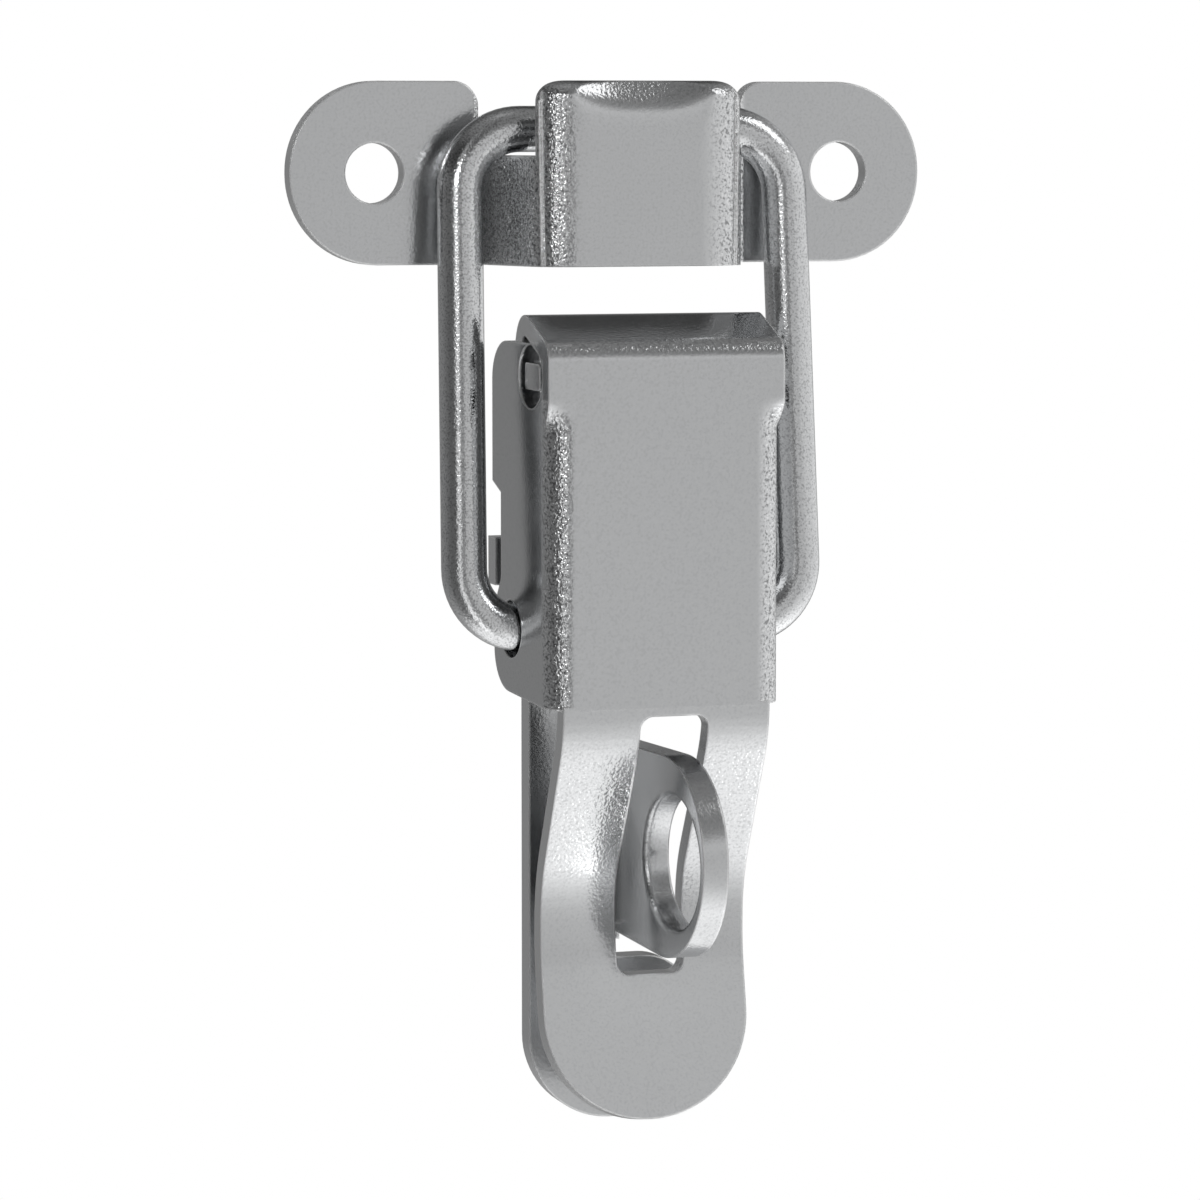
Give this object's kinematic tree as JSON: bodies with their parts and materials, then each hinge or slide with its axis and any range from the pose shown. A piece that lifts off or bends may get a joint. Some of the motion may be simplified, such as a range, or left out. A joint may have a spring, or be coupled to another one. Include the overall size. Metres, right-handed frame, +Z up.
{
  "type": "over centre toggle latch",
  "caption": "Over centre toggle latch: a wire bail on a folded lever pulls a hooked keeper down, with an eye for a padlock through the lever.",
  "frame": {"origin": "half way between the base plate's two screw holes, in the face that both plates are screwed to", "axes": "+Z up from the base plate towards the keeper, -Y out of the mounting face towards the user, +X to the right"},
  "size_m": [0.0508, 0.0214, 0.0809],
  "materials": {
    "zinc_plated_steel": "bright zinc plate on pressed sheet",
    "zinc_plated_wire": "bright zinc plate on drawn wire"
  },
  "bodies": {
    "plates": {"base_plate": "zinc_plated_steel", "keeper": "zinc_plated_steel"},
    "lever": {"lever": "zinc_plated_steel"},
    "bail": {"wire_bail": "zinc_plated_wire"}
  },
  "joints": [
    {"name": "lever_hinge", "type": "hinge", "parent": "plates", "child": "lever", "pos_m": [0, -0.0118, 0.0369], "axis": [-1, 0, 0], "range_deg": [0, 100]},
    {"name": "bail_pivot", "type": "hinge", "parent": "lever", "child": "bail", "pos_m": [0, -0.0077, 0.0175], "axis": [-1, 0, 0], "range_deg": [-55, 0]}
  ],
  "couplings": [
    {"joint": "bail_pivot", "follows": "lever_hinge", "ratio": -0.55}
  ]
}
